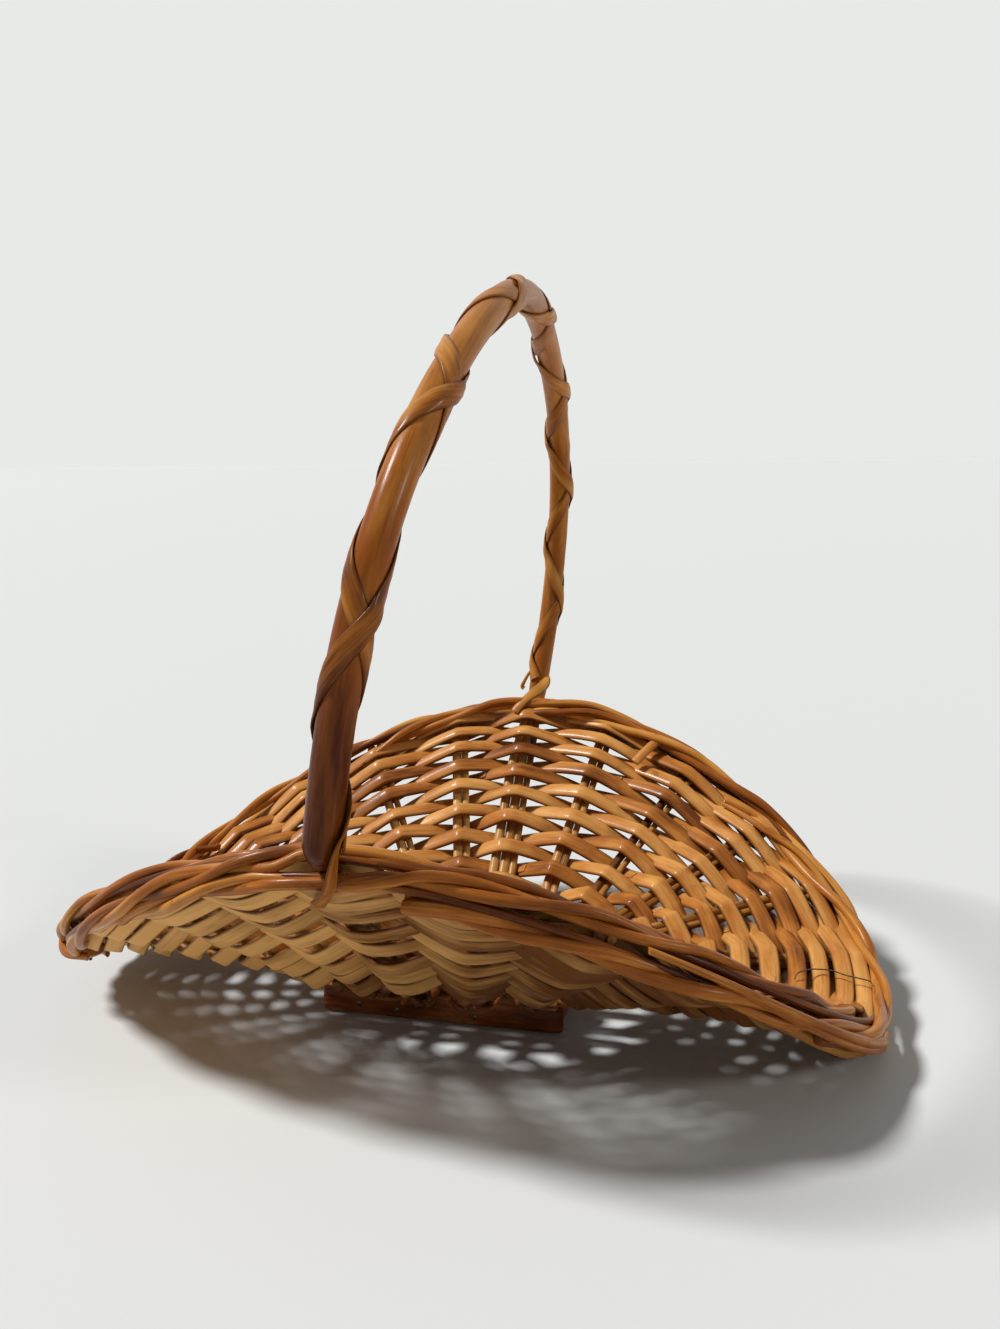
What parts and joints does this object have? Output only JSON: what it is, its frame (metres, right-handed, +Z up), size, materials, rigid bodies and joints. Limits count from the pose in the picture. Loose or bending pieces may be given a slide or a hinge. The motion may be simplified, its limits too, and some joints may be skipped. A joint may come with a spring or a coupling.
{
  "type": "flower gathering basket",
  "caption": "Boat-shaped open willow tray woven over fanned ribs, with a rolled rim, a fixed bow handle wound with cane and a stick foot.",
  "frame": {"origin": "middle of the foot at table height, under the middle of the tray", "axes": "+X along the tray towards the right-hand tip, +Y across the tray away from the viewer, +Z up"},
  "size_m": [0.4889, 0.446, 0.4149],
  "materials": {
    "foot_willow": "varnished",
    "rib_willow": "varnished",
    "weaver_willow": "varnished",
    "rim_willow": "varnished",
    "handle_willow": "varnished",
    "cane_strip": "varnished"
  },
  "bodies": {
    "root": {"foot_bar_front": "foot_willow", "foot_bar_back": "foot_willow", "foot_bar_left": "foot_willow", "foot_bar_right": "foot_willow", "rib_cross_1": "rib_willow", "rib_cross_2": "rib_willow", "rib_cross_3": "rib_willow", "rib_cross_4": "rib_willow", "rib_cross_5": "rib_willow", "rib_long_1": "rib_willow", "rib_long_2": "rib_willow", "rib_long_3": "rib_willow", "rib_long_4": "rib_willow", "rib_long_5": "rib_willow", "rib_long_6": "rib_willow", "side_rod_cross_1": "rib_willow", "side_rod_cross_2": "rib_willow", "side_rod_cross_3": "rib_willow", "side_rod_cross_4": "rib_willow", "side_rod_cross_5": "rib_willow", "side_rod_long_1": "rib_willow", "side_rod_long_2": "rib_willow", "side_rod_long_3": "rib_willow", "side_rod_long_4": "rib_willow", "side_rod_long_5": "rib_willow", "side_rod_long_6": "rib_willow", "weaver_row_01": "weaver_willow", "weaver_row_02": "weaver_willow", "weaver_row_03": "weaver_willow", "weaver_row_04": "weaver_willow", "weaver_row_05": "weaver_willow", "weaver_row_06": "weaver_willow", "weaver_row_07": "weaver_willow", "weaver_row_08": "weaver_willow", "weaver_row_09": "weaver_willow", "weaver_row_10": "weaver_willow", "weaver_row_11": "weaver_willow", "weaver_row_12": "weaver_willow", "weaver_row_13": "weaver_willow", "weaver_row_14": "weaver_willow", "weaver_row_15": "weaver_willow", "weaver_row_16": "weaver_willow", "base_weaver_1": "weaver_willow", "base_weaver_2": "weaver_willow", "base_weaver_3": "weaver_willow", "base_weaver_4": "weaver_willow", "base_weaver_5": "weaver_willow", "rim_rod_inner": "rim_willow", "rim_rod_outer": "rim_willow", "rim_rod_top_inner": "rim_willow", "rim_rod_top_outer": "rim_willow", "bow_handle": "handle_willow", "cane_strip_inner": "cane_strip", "cane_strip_outer": "cane_strip"}
  },
  "joints": []
}
